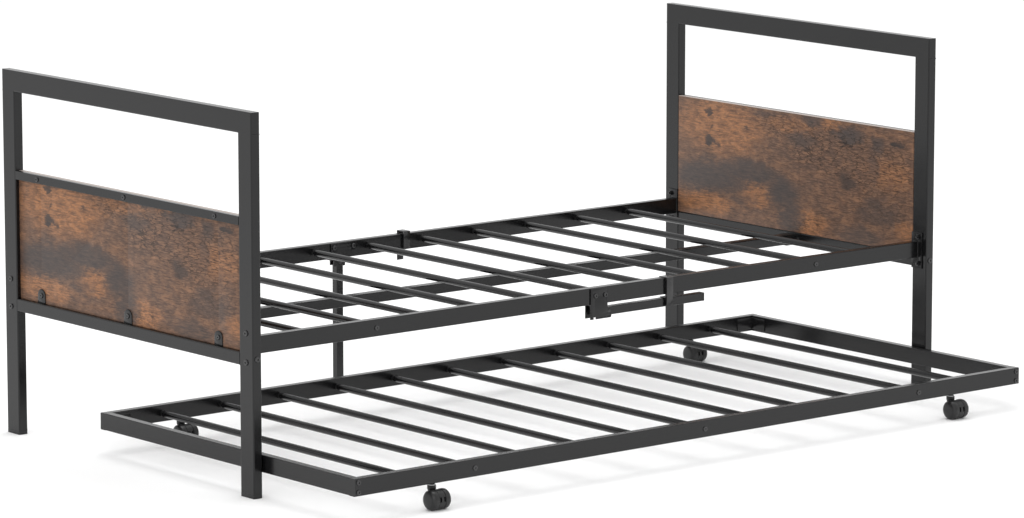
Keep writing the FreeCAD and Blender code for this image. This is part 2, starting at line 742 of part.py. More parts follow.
node(copies("beam_bracket_screws", beam_bolt, beam_bolt_spots), "beam_bracket_screws")


# ------------------------------------------------------------------ folding support legs
def support_leg(label, pivot_x, y, pivot_z, way):
    """A square tube, rounded about its pivot, with a plastic foot at the far end.

    way is "+x" for the leg folded up along the rail and "-z" for the leg that stands.
    """
    long = "(dims.rear_pivot_z - dims.leg_foot)" if way == "-z" else "(dims.front_pivot_z - dims.leg_foot)"
    head = half("dims.leg_deep")
    run = f"({long} + {head})"
    shift = f"(({long} - {head}) / 2)"
    foot_shift = f"({long} + {half('dims.leg_foot')})"
    if way == "-z":
        at = (pivot_x, y, f"{pivot_z} - {shift}")
        foot_at = (pivot_x, y, f"{pivot_z} - {foot_shift}")
        straight_at = (pivot_x, y, f"{pivot_z} - {half(long)}")
        straight_size = ("dims.leg_deep", "dims.rail_wide", long)
        foot_size = ("dims.leg_deep", "dims.leg_wide", "dims.leg_foot")
        turn, size = ALONG_Z, ("dims.leg_deep", "dims.leg_wide")
        plug_at = (pivot_x, y, f"{pivot_z} - {long} + dims.leg_plug / 2")
    else:
        at = (f"{pivot_x} + {shift}", y, pivot_z)
        foot_at = (f"{pivot_x} + {foot_shift}", y, pivot_z)
        straight_at = (f"{pivot_x} + {half(long)}", y, pivot_z)
        straight_size = (long, "dims.rail_wide", "dims.leg_deep")
        foot_size = ("dims.leg_foot", "dims.leg_wide", "dims.leg_deep")
        turn, size = ALONG_X, ("dims.leg_wide", "dims.leg_deep")
        plug_at = (f"{pivot_x} + {long} - dims.leg_plug / 2", y, pivot_z)
    square = tube(label + "_tube", *size, run, at, turn, rounding=1.5)
    straight = block(label + "_straight", straight_at, straight_size)
    nose_at = (pivot_x, f"{y} - dims.rail_wide / 2", pivot_z)
    nose = rod(label + "_nose", nose_at, "+y", head, "dims.rail_wide")
    keep = joined("Part::MultiFuse", label + "_keep", [straight, nose])
    rounded = joined("Part::MultiCommon", label + "_rounded", [square, keep])
    node(cut(label, rounded, pivot_bores), label)
    foot_label = label.replace("support_leg", "leg_foot")
    sole = block(foot_label + "_sole", foot_at, foot_size)
    inner = [f"{size_value} - 2 * dims.tube_wall - dims.plug_play" for size_value in size]
    plug = tube(foot_label + "_plug", *inner, "dims.leg_plug", plug_at, turn, None, None)
    node(joined("Part::MultiFuse", foot_label, [sole, plug]), foot_label)


RAIL_MID_IN = f"(dims.rail_inset + {half('dims.rail_wide')})"
front_leg_y = across(-1, RAIL_MID_IN)
rear_leg_y = across(1, RAIL_MID_IN)
support_leg("front_support_leg", "dims.front_pivot_x", front_leg_y, "dims.front_pivot_z", "+x")
support_leg("rear_support_leg", "dims.rear_pivot_x", rear_leg_y, "dims.rear_pivot_z", "-z")


def leg_bracket(label, y, front_corners, back_corners, web):
    """Two cheeks that clasp the rail, joined by a web under it beside the leg."""
    offset = "(dims.rail_wide / 2 + dims.cheek_thick / 2)"
    cheeks = []
    for way, corners in ((-1, front_corners), (1, back_corners)):
        at = (0, f"{y} + {way} * {offset}", 0)
        cheeks.append(outline_plate(f"{label}_cheek_{way + 1}", corners, "dims.cheek_thick", at))
    low_x, low_z, high_x, high_z = web
    middle = (half(low_x + high_x), y, half(low_z + high_z))
    size = (high_x - low_x, "dims.rail_wide + 2 * dims.cheek_thick", high_z - low_z)
    web_block = block(label + "_web", middle, size)
    whole = joined("Part::MultiFuse", label + "_blank", [*cheeks, web_block])
    tools = joined("Part::Compound", label + "_tools", [bracket_bores, pivot_bores])
    node(cut(label, whole, tools), label)


# The outlines are X and Z of each cheek's corners.  The web lies just under the rail.
WEB_LOW, WEB_HIGH = 318.8, 321.8
front_cheek = [(-44, 287), (-35, 287), (-35, 292), (-27, 292), (-27, 287), (18, 287), (20, 292), (20, 313)]
front_cheek += [(8, 313), (8, 361), (-44, 361)]
# The cheek behind the front rail stops short of the plug of the middle slat.
front_inner_cheek = [(-40, 287), (18, 287), (20, 292), (20, 313), (-12, 313), (-12, 361), (-40, 361)]
leg_bracket("front_leg_bracket", front_leg_y, front_cheek, front_inner_cheek, (-40, WEB_LOW, -12, WEB_HIGH))


def rear_cheek(low_left):
    """A tall ear either side of the leg, with the leg's own lug between them."""
    corners = [(low_left, 303), (-74.5, 303), (-74.5, 323), (-38, 323), (-38, 361)]
    return corners + [(-118, 361), (-118, 318), (low_left, 318)]


rear_web = (-118, WEB_LOW, -100, WEB_HIGH)
leg_bracket("rear_leg_bracket", rear_leg_y, rear_cheek(-109), rear_cheek(-103), rear_web)
bracket_bolt = fastener("bracket_bolt", 12, 3, "dims.bolt_round", 13, 5)
node(copies("leg_bracket_bolts", bracket_bolt, bracket_bolt_spots), "leg_bracket_bolts")
pivot_pin = fastener("pivot_pin", 14, 3, "dims.pivot_round", PIN_LONG, 5)
node(copies("leg_pivot_pins", pivot_pin, pivot_spots), "leg_pivot_pins")

# A spring clip hangs over the rail, and the folded leg snaps up behind its long outer wall.
RAIL_TOP = "(dims.rail_mid + dims.rail_high / 2)"
CLIP_TOP = f"({RAIL_TOP} + dims.clip_thick)"
RAISED = f"({RAIL_TOP} + dims.clip_rise)"
RAISED_TOP = f"({RAISED} + dims.clip_thick)"
SNUG = "(dims.rail_wide / 2 + dims.clip_play)"
SNUG_OUT = f"({SNUG} + dims.clip_thick)"
STAND_OUT = "(dims.rail_wide / 2 + dims.clip_stand)"
STAND_IN = f"({STAND_OUT} - dims.clip_thick)"
CLIP_WEB = "(dims.clip_jaw + dims.clip_thick)"


def leg_clip(label, x, y, outward, flats):
    """Folded sheet: each flat is its depths out from the rail's middle, then its heights.

    A flat marked "return" is the narrow fold on the clip's left edge.
    """
    blocks = []
    for index, (kind, near, far, low, high) in enumerate(flats, start=1):
        wide = "dims.clip_thick" if kind == "return" else "dims.clip_wide"
        left = f"({x} - dims.clip_wide / 2)"
        depth = half(f"{near} + {far}")
        at = (f"{left} + {half(wide)}", f"{y} + {outward} * {depth}", half(f"{low} + {high}"))
        blocks.append(block(f"{label}_{index}", at, (wide, f"({far} - {near})", f"({high} - {low})")))
    node(joined("Part::MultiFuse", label, blocks), label)


front_flats = [
    ("wall", STAND_IN, STAND_OUT, "dims.clip_low", CLIP_TOP),
    ("return", SNUG, STAND_OUT, "dims.clip_low", CLIP_TOP),
    ("jaw", f"-{half('dims.rail_wide')}", STAND_OUT, "dims.clip_jaw", CLIP_WEB),
    ("top", f"-{SNUG_OUT}", STAND_OUT, RAIL_TOP, CLIP_TOP),
    ("lip", f"-{SNUG_OUT}", f"-{SNUG}", "dims.clip_lip_low", CLIP_TOP),
]
leg_clip("front_leg_clip", "dims.front_clip_x", front_leg_y, -1, front_flats)
rear_flats = [
    ("wall", SNUG, SNUG_OUT, "dims.clip_low", RAISED_TOP),
    ("top", f"-{STAND_OUT}", SNUG_OUT, RAISED, RAISED_TOP),
    ("saddle", f"-{STAND_OUT}", SNUG_OUT, RAIL_TOP, CLIP_TOP),
    ("return", f"-{STAND_OUT}", f"-{SNUG}", "dims.clip_lip_low", CLIP_TOP),
    ("lip", f"-{STAND_OUT}", f"-{STAND_IN}", "dims.clip_lip_low", RAISED_TOP),
]
leg_clip("rear_leg_clip", "dims.rear_clip_x", rear_leg_y, 1, rear_flats)

# ------------------------------------------------------------------ trundle
for end_name, (end, facing) in ENDS.items():
    label = f"trundle_{end_name}_rail"
    at = (0, trundle_across(end, half("dims.rail_wide")), TRUNDLE_RAIL_Z)
    size = ("dims.rail_wide", "dims.rail_high")
    body = tube(label + "_tube", *size, "dims.trundle_length", at, ALONG_X, rounding=2)
    inside = [f"{extent} - 2 * dims.tube_wall" for extent in size]
    closures = []
    for side_name, (side, outward) in SIDES.items():
        closure_at = (trundle_along(side, half("dims.tube_wall")), *at[1:])
        closures.append(block(f"{label}_{side_name}_closure", closure_at, ("dims.tube_wall", *inside)))
    welded = joined("Part::MultiFuse", label + "_welded", [body, *closures])
    node(cut(label, welded, trundle_tools), label)
for side_name, (side, outward) in SIDES.items():
    label = f"trundle_{side_name}_rail"
    x = trundle_along(side, half("dims.rail_wide"))
    size = ("dims.rail_high", "dims.rail_wide")
    middle = (x, TRUNDLE_MID_Y, TRUNDLE_RAIL_Z)
    body = tube(label + "_tube", *size, TRUNDLE_GAP, middle, ALONG_Y, rounding=2)
    nut_plates = []
    for end_name, (end, facing) in ENDS.items():
        y = trundle_across(end, f"(dims.rail_wide + {half('dims.end_plate')})")
        inside = [f"{extent} - 2 * dims.tube_wall" for extent in size]
        plate_size = (inside[1], "dims.end_plate", inside[0])
        nut_plates.append(block(f"{label}_{end_name}_plate", (x, y, TRUNDLE_RAIL_Z), plate_size))
    welded = joined("Part::MultiFuse", label + "_welded", [body, *nut_plates])
    node(cut(label, welded, corner_bores), label)

trundle_slat_run = f"{TRUNDLE_GAP} - 2 * dims.neck_long"
start = (first_slat("dims.trundle_slat_pitch"), TRUNDLE_MID_Y, TRUNDLE_RAIL_Z)
slat_row("trundle_slats", "dims.trundle_slat_pitch", trundle_slat_run, start)
node(copies("trundle_slat_end_plugs", slat_plug, trundle_plug_spots), "trundle_slat_end_plugs")
corner_bolt = fastener("corner_bolt", 12, 3, "dims.bolt_round", 32, 5)
node(copies("trundle_corner_bolts", corner_bolt, corner_bolt_spots), "trundle_corner_bolts")
trundle_screw = fastener("trundle_screw", 13, 2.6, "dims.screw_round", 10, 3.5)
node(copies("trundle_screws", trundle_screw, trundle_screw_spots), "trundle_screws")

# An angle plate stiffens each inner corner.
angles = []
for side_name, (side, outward) in SIDES.items():
    for end_name, (end, facing) in ENDS.items():
        name = f"{side_name}_{end_name}_angle"
        long, thick = "dims.corner_leg", "dims.bracket_thick"
        x = trundle_along(side, f"(dims.rail_wide + {half(long)})")
        y = trundle_across(end, f"(dims.rail_wide + {half(thick)})")
        one = block(name + "_one", (x, y, TRUNDLE_RAIL_Z), (long, thick, "dims.corner_high"))
        x = trundle_along(side, f"(dims.rail_wide + {half(thick)})")
        y = trundle_across(end, f"(dims.rail_wide + {half(long)})")
        two = block(name + "_two", (x, y, TRUNDLE_RAIL_Z), (thick, long, "dims.corner_high"))
        angles.append(joined("Part::MultiFuse", name, [one, two]))
node(joined("Part::Compound", "trundle_corner_brackets", angles), "trundle_corner_brackets")

# ------------------------------------------------------------------ casters
stem_radius, ring_radius = half("dims.stem_round"), half("dims.stem_ring_round")
stem_tip, ring_low = "-dims.stem_below", "-dims.stem_ring_high"
stem_outline = [(0, stem_tip), (stem_radius, stem_tip), (stem_radius, ring_low), (ring_radius, ring_low)]
stem_outline += [(ring_radius, 0), (stem_radius, 0), (stem_radius, "dims.stem_above")]
stem_outline.append((0, "dims.stem_above"))
caster_stem = turned("caster_stem", stem_outline)
stem_tops = [(x, y, "dims.trundle_low", "+z") for x, y in caster_spots.values()]
node(copies("caster_stems", caster_stem, stem_tops), "caster_stems")

# A wheel is a dish: a flat tread, a rounded shoulder and a blind hole for the axle from inside.
axle_hole = "(dims.axle_round / 2 + dims.running_play / 2)"
wheel_in = half("dims.wheel_gap")
hole_end = "(dims.wheel_face - dims.wheel_web)"
wheel_outline = [(axle_hole, wheel_in), (f"{WHEEL_RADIUS} - dims.wheel_bevel", wheel_in)]
wheel_outline += [(WHEEL_RADIUS, f"{wheel_in} + dims.wheel_bevel"), (WHEEL_RADIUS, "dims.wheel_face - 6.5")]
for inward, back in ((0.7, 3.6), (2.6, 1.5), (5.6, 0.4)):
    wheel_outline.append((f"{WHEEL_RADIUS} - {inward}", f"dims.wheel_face - {back}"))
wheel_outline += [(0, "dims.wheel_face"), (0, hole_end), (axle_hole, hole_end)]
wheel = turned("caster_wheel", wheel_outline)


def caster(name, x, y):
    """A twin-wheel caster: housing on the stem, two wheels and their axle behind it."""
    axle_y = f"({y} - dims.caster_trail)"
    neck_high = "(dims.caster_collar_low - dims.caster_neck_low)"
    neck_at = (x, y, "dims.caster_neck_low")
    neck = rod(f"{name}_neck", neck_at, "+z", half("dims.caster_neck_round"), neck_high)
    collar_high = "(dims.trundle_low - dims.stem_ring_high - dims.swivel_gap - dims.caster_collar_low)"
    collar_at = (x, y, "dims.caster_collar_low")
    collar = rod(f"{name}_collar", collar_at, "+z", half("dims.caster_collar_round"), collar_high)
    hood_wide = "(dims.wheel_gap - 2 * dims.swivel_gap)"
    hood_at = (f"{x} - {half(hood_wide)}", axle_y, WHEEL_RADIUS)
    hood = rod(f"{name}_hood", hood_at, "+x", f"{WHEEL_RADIUS} - 2", hood_wide)
    blank = joined("Part::MultiFuse", f"{name}_blank", [neck, collar, hood])
    bore_radius = f"{stem_radius} + dims.running_play / 2"
    bore_at = (x, y, "dims.trundle_low - dims.stem_below - 1")
    stem_bore = rod(f"{name}_stem_bore", bore_at, "+z", bore_radius, "dims.stem_below")
    axle_bore = rod(f"{name}_axle_bore", (f"{x} - 12", axle_y, WHEEL_RADIUS), "+x", axle_hole, 24)
    housing_tools = joined("Part::Compound", f"{name}_tools", [stem_bore, axle_bore])
    node(cut(f"{name}_caster_housing", blank, housing_tools), f"{name}_caster_housing")
    spots = [(x, axle_y, WHEEL_RADIUS, "-x"), (x, axle_y, WHEEL_RADIUS, "+x")]
    node(copies(f"{name}_caster_wheels", wheel, spots), f"{name}_caster_wheels")
    axle_at = (f"{x} - {half('dims.axle_long')}", axle_y, WHEEL_RADIUS)
    axle = rod(f"{name}_caster_axle", axle_at, "+x", half("dims.axle_round"), "dims.axle_long")
    node(axle, f"{name}_caster_axle")


for name, (x, y) in caster_spots.items():
    caster(name, x, y)

# ------------------------------------------------------------------ checks and export
doc.recompute()
for thing in doc.Objects:
    bad = [state for state in thing.State if state in ("Invalid", "Error")]
    assert not bad, f"{thing.Label} did not recompute"
labels = [thing.Label for thing in nodes]
assert len(set(labels)) == len(labels), "two sub-parts share a name"
for thing in nodes:
    shape = thing.Shape
    assert not shape.isNull() and shape.isValid(), f"{thing.Label} has no valid shape"
    assert shape.Solids, f"{thing.Label} has no solid"
os.makedirs("parts", exist_ok=True)
for thing in nodes:
    thing.Shape.exportStep(os.path.join("parts", thing.Label + ".step"))
print(len(nodes), "sub-parts written")
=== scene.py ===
# %% [markdown]
# # A steel day bed with a trundle under it
# The bed is two end frames of rectangular tube with a wood-effect board in each, two side rails
# with round slats between them, and a low trundle on casters.  Its sizes, joints and hardware are
# already modelled to scale, so this script starts from that fixed frame.  It adds what a camera
# notices: eased edges on the boards, brackets and caps, moulded casters on turned stems, weld
# beads, and a finish for every surface.  All lengths are metres.

# %% Load the frame
import bpy
import bmesh
import json
import math
from mathutils import Matrix, Vector


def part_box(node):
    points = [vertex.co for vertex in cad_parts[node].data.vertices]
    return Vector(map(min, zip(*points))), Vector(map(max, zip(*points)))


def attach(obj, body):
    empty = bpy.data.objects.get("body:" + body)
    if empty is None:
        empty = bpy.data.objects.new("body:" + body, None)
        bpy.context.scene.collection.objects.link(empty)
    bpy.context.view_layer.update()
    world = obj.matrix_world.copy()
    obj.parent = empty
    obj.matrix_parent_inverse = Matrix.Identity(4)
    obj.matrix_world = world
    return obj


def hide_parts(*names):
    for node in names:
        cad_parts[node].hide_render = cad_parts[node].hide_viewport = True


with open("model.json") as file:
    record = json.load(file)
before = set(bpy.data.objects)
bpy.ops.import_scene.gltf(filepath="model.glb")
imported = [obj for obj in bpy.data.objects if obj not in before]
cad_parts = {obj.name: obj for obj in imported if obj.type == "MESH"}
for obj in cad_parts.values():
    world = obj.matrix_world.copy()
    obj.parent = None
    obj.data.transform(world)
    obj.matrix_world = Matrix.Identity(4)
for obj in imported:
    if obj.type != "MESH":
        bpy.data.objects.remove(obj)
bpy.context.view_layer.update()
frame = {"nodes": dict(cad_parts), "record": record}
nodes = frame["nodes"]
slot_of = {row["node"]: row["material_slot"] for row in frame["record"]["subparts"]}
members_of = frame["record"]["behaviour"]["bodies"]
body_of = {node: body for body, members in members_of.items() for node in members}

MM = 0.001

# %% [markdown]
# ## Camera
# A product shot of long furniture is taken from far away with a long lens, so that the near post
# doesn't loom over the far one.  The camera here stands about twelve metres off, at the left front
# corner and a little above the bed.  Its direction is two turns: the heading about the vertical,
# and the tilt down from level.

# %% Camera
HEADING = math.radians(-39.533)
TILT_DOWN = math.radians(9.562)
CAMERA_PLACE = Vector((-7.6123, -9.1645, 2.3979))
LENS = 177.45
FARTHEST = 60.0

camera_data = bpy.data.cameras.new("camera")
camera_data.lens = LENS
camera_data.clip_end = FARTHEST
camera = bpy.data.objects.new("camera", camera_data)
camera.location = CAMERA_PLACE
camera.rotation_euler = (math.pi / 2 - TILT_DOWN, 0.0, HEADING)
bpy.context.scene.collection.objects.link(camera)
bpy.context.scene.camera = camera

# %% [markdown]
# ## Studio
# Black powder coat shows hardly any colour of its own: what is seen is the room in it.  A white
# room with a white floor puts the pale strips on the tops of the tubes, where the surface is seen
# at a glancing angle, and leaves the upright faces dark.  A wide lamp overhead and a weaker one at
# the left front give the faces three different tones.

# %% Floor, sky and lamps
FLOOR_HALF = 30.0
BED_MIDDLE = (0.0, 0.0, 0.4)

scene = bpy.context.scene
scene.view_settings.view_transform = "Standard"
world = bpy.data.worlds.new("white_room")
world.use_nodes = True
sky = world.node_tree.nodes["Background"]
sky.inputs["Color"].default_value = (1.0, 1.0, 1.0, 1.0)
sky.inputs["Strength"].default_value = 1.0
scene.world = world


def floor_sheet():
    """A flat pale sheet, far larger than the bed."""
    shape = bmesh.new()
    bmesh.ops.create_grid(shape, x_segments=1, y_segments=1, size=FLOOR_HALF)
    mesh = bpy.data.meshes.new("floor")
    shape.to_mesh(mesh)
    shape.free()
    sheet = bpy.data.objects.new("floor", mesh)
    scene.collection.objects.link(sheet)
    return sheet


def soft_lamp(name, place, aim, size, power):
    """A square area lamp that faces a point."""
    data = bpy.data.lights.new(name, "AREA")
    data.shape = "SQUARE"
    data.size = size
    data.energy = power
    lamp = bpy.data.objects.new(name, data)
    lamp.location = place
    lamp.rotation_euler = (Vector(aim) - Vector(place)).to_track_quat("-Z", "Y").to_euler()
    scene.collection.objects.link(lamp)


floor = floor_sheet()
soft_lamp("overhead", (0.5, 1.0, 6.0), BED_MIDDLE, size=5.0, power=150.0)
soft_lamp("left_front", (-5.0, -3.0, 2.5), BED_MIDDLE, size=3.0, power=40.0)

# %% [markdown]
# ## Shader maths
# A finish is worked out from a few masks: where the board is scorched, how deep a crack is.  Those
# are sums and products of node sockets, and they read best as ordinary arithmetic.  `Value` wraps
# one socket and turns `+ - * /` into Math nodes.  `Finish` owns one material, and its `add` makes
# any other node from its type, its settings and its inputs.  `rgb` turns a screen colour into the
# linear one that a shader takes: the screen's curve is straight near black and a power above that.

# %% Value and Finish
class Value:
    """One socket that carries a number, with arithmetic on it."""

    def __init__(self, finish, socket):
        self.finish = finish
        self.socket = socket

    def math(self, operation, first, second):
        node = self.finish.tree.nodes.new("ShaderNodeMath")
        node.operation = operation
        for socket, term in zip(node.inputs, (first, second)):
            self.finish.connect(socket, term)
        return Value(self.finish, node.outputs[0])

    def __add__(self, other):
        return self.math("ADD", self, other)

    __radd__ = __add__

    def __sub__(self, other):
        return self.math("SUBTRACT", self, other)

    def __rsub__(self, other):
        return self.math("SUBTRACT", other, self)

    def __mul__(self, other):
        return self.math("MULTIPLY", self, other)

    __rmul__ = __mul__

    def __truediv__(self, other):
        return self.math("DIVIDE", self, other)

    def larger(self, other):
        return self.math("MAXIMUM", self, other)

    def smaller(self, other):
        return self.math("MINIMUM", self, other)

    def step(self, low, high):
        """0 below low, 1 above high, and a smooth climb between them."""
        node = self.finish.add("MapRange", {"interpolation_type": "SMOOTHSTEP"}, Value=self)
        node.inputs["From Min"].default_value = low
        node.inputs["From Max"].default_value = high
        return Value(self.finish, node.outputs["Result"])


class Finish:
    """One material and the nodes that make it."""

    def __init__(self, name, **constants):
        self.material = bpy.data.materials.new(name)
        self.material.use_nodes = True
        self.tree = self.material.node_tree
        self.shader = self.tree.nodes["Principled BSDF"]
        for socket, value in constants.items():
            self.shader.inputs[socket.replace("_", " ")].default_value = value

    def connect(self, socket, term):
        """Link a value or another socket to a socket, or set it to a plain number or colour."""
        if isinstance(term, Value):
            self.tree.links.new(term.socket, socket)
        elif isinstance(term, bpy.types.NodeSocket):
            self.tree.links.new(term, socket)
        else:
            socket.default_value = term

    def add(self, kind, settings=None, **inputs):
        """A node of a kind; settings are set first, then its shown inputs by name."""
        node = self.tree.nodes.new("ShaderNode" + kind)
        for name, value in (settings or {}).items():
            setattr(node, name, value)
        for name, term in inputs.items():
            shown = next(s for s in node.inputs if s.enabled and s.name == name.replace("_", " "))
            self.connect(shown, term)
        return node

    def position(self):
        """Where a point is on the bed, in metres."""
        return self.add("TexCoord").outputs["Object"]

    def stretched(self, scale):
        """The same place, with each of its axes multiplied by its own scale."""
        node = self.add("Mapping", Vector=self.position())
        node.inputs["Scale"].default_value = scale
        return node.outputs["Vector"]

    def noise(self, where, scale, detail=3.0, roughness=0.5, distortion=0.0):
        """Cloudy noise at a place, with about scale waves to the metre."""
        node = self.add("TexNoise", Vector=where, Scale=scale, Detail=detail)
        node.inputs["Roughness"].default_value = roughness
        node.inputs["Distortion"].default_value = distortion
        return Value(self, node.outputs["Fac"])

    def blend(self, mask, under, over):
        """One colour over another where the mask is 1."""
        node = self.add("Mix", {"data_type": "RGBA"}, Factor=mask, A=under, B=over)
        return next(s for s in node.outputs if s.enabled)

    def bump(self, height, depth):
        """Raise the surface by depth metres where height is 1."""
        node = self.add("Bump", Height=height, Strength=1.0, Distance=depth)
        self.tree.links.new(node.outputs["Normal"], self.shader.inputs["Normal"])

    def feed(self, **outputs):
        """Give the shader's sockets their values, by name."""
        for socket, term in outputs.items():
            self.connect(self.shader.inputs[socket.replace("_", " ")], term)


SCREEN_WHITE = 255
STRAIGHT_BELOW, STRAIGHT_SLOPE = 0.04045, 12.92
CURVE_SHIFT, CURVE_POWER = 0.055, 2.4


def rgb(red, green, blue):
    """A screen colour, 0 to 255, as the linear colour that a shader takes."""
    linear = []
    for value in (red, green, blue):
        share = value / SCREEN_WHITE
        curved = ((share + CURVE_SHIFT) / (1.0 + CURVE_SHIFT)) ** CURVE_POWER
        linear.append(share / STRAIGHT_SLOPE if share <= STRAIGHT_BELOW else curved)
    return (*linear, 1.0)


def tones(colour, spread):
    """The same colour a little darker and a little paler, by a share of itself."""
    return [rgb(*[share * (1.0 + turn * spread) for share in colour]) for turn in (-1, 1)]


# %% [markdown]
# ## Powder coat
# The steel is sprayed with a dry black paint and baked.  The skin flows into a faint orange peel,
# ripples a millimetre or two across, with a finer grain on top.  A black this dark is lit mostly by
# its gloss, so the roughness matters more than the colour.

# %% Powder-coated steel
ORANGE_PEEL = 0.04 * MM


def powder_coat(name, colour, roughness):
    finish = Finish(name, Specular_IOR_Level=0.4)
    where = finish.position()
    peel = finish.noise(where, scale=520.0, detail=2.0)
    grain = finish.noise(where, scale=1900.0, detail=1.0)
    drift = finish.noise(where, scale=3.5, detail=3.0)
    darker, paler = tones(colour, 0.08)
    finish.feed(Base_Color=finish.blend(drift.step(0.3, 0.7), darker, paler))
    finish.feed(Roughness=drift * 0.08 + grain * 0.10 + (roughness - 0.09))
    finish.bump(peel * 0.7 + grain * 0.3, ORANGE_PEEL)
    return finish.material


# %% [markdown]
# ## Scorched board
# The boards are chipboard under a printed foil: warm brown planks with smoky grey patches, a few
# dark knots, a net of hairline cracks and straight grain along the board.  Both ends carry the
# same print, so the pattern reads only how far a point is along and up the board.  Each patch is
# a soft ellipse, and noise pulls its edge about until it looks like smoke.

# %% Patches on the board
board_low, board_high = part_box("left_end_wood_panel")
BOARD_LONG = board_high.y - board_low.y
BOARD_TALL = board_high.z - board_low.z

# Each row is a patch: how far it is from the back end and down from the top edge, as shares of
# the board, then its two half sizes in metres, along and up, and how strong it is.
SMOKE = [
    (0.14, 0.65, 0.135, 0.040, 1.00),
    (0.31, 0.56, 0.130, 0.028, 0.95),
    (0.46, 0.68, 0.060, 0.040, 1.00),
    (0.49, 0.88, 0.045, 0.042, 0.90),
    (0.73, 0.11, 0.050, 0.022, 0.95),
    (0.59, 0.04, 0.042, 0.014, 0.85),
    (0.53, 0.21, 0.048, 0.022, 0.65),
    (0.85, 0.16, 0.028, 0.024, 0.75),
    (0.83, 0.36, 0.020, 0.034, 0.50),
    (0.86, 0.72, 0.085, 0.030, 0.60),
    (0.78, 0.93, 0.080, 0.026, 0.65),
    (0.28, 0.80, 0.055, 0.014, 0.60),
    (0.38, 0.04, 0.040, 0.012, 0.45),
]
KNOTS = [
    (0.150, 0.35, 0.026, 0.0120, 1.0),
    (0.127, 0.08, 0.018, 0.0080, 0.9),
    (0.150, 0.21, 0.010, 0.0065, 0.8),
    (0.288, 0.19, 0.008, 0.0050, 0.7),
    (0.733, 0.51, 0.028, 0.0180, 0.7),
    (0.936, 0.13, 0.022, 0.0095, 0.9),
]
EMBERS = [
    (0.19, 0.20, 0.150, 0.064, 1.00),
    (0.48, 0.11, 0.100, 0.018, 0.65),
    (0.66, 0.05, 0.050, 0.014, 0.95),
    (0.12, 0.88, 0.100, 0.026, 0.95),
    (0.34, 0.76, 0.060, 0.030, 0.90),
    (0.57, 0.91, 0.060, 0.034, 1.00),
    (0.91, 0.40, 0.080, 0.036, 0.65),
    (0.97, 0.84, 0.034, 0.026, 0.75),
]
CRAZED = [
    (0.66, 0.24, 0.160, 0.060, 0.70),
    (0.84, 0.34, 0.160, 0.070, 0.60),
    (0.46, 0.12, 0.120, 0.030, 0.50),
    (0.88, 0.62, 0.120, 0.050, 0.35),
    (0.58, 0.93, 0.070, 0.024, 0.50),
]


def patches(along, up, rows, softness):
    """The strongest, at each point, of several soft ellipses."""
    covered = None
    for share_along, share_down, half_along, half_up, strength in rows:
        across = (along - (board_high.y - share_along * BOARD_LONG)) / half_along
        above = (up - (board_high.z - share_down * BOARD_TALL)) / half_up
        reach = across * across + above * above
        patch = (1.0 - reach.step(1.0 - softness, 1.0 + softness)) * strength
        covered = covered.larger(patch) if covered else patch
    return covered


# %% [markdown]
# The board's grain is noise stretched along Y.  It comes in several widths: slow drifts that a
# whole plank shares, a ragged mottle, streaks a millimetre or two wide, and hairlines.  The cracks
# are the edges of a Voronoi net whose points have been pushed about, and they show most in the
# crazed patches.  The top edge is painted pale grey, a painted highlight for the light on its top.

# %% Scorched board
PLANK_DARK, PLANK_PALE = rgb(97, 74, 61), rgb(136, 99, 74)
EMBER, MOTTLE = rgb(190, 128, 79), rgb(74, 56, 48)
GRAIN_LINE, PALE_HAIR = rgb(62, 47, 40), rgb(172, 134, 108)
SMOKE_GREY, KNOT_GREY = rgb(57, 58, 60), rgb(46, 45, 46)
# The pale grey here is a painted highlight, laid on the board's top edge.
CRACK, PAINTED_TOP_HIGHLIGHT = rgb(28, 22, 20), rgb(168, 158, 152)
BOARD_RELIEF = 0.12 * MM
TOP_EDGE_FROM = board_high.z - 0.9 * MM
TOP_EDGE_FULL = board_high.z - 0.4 * MM


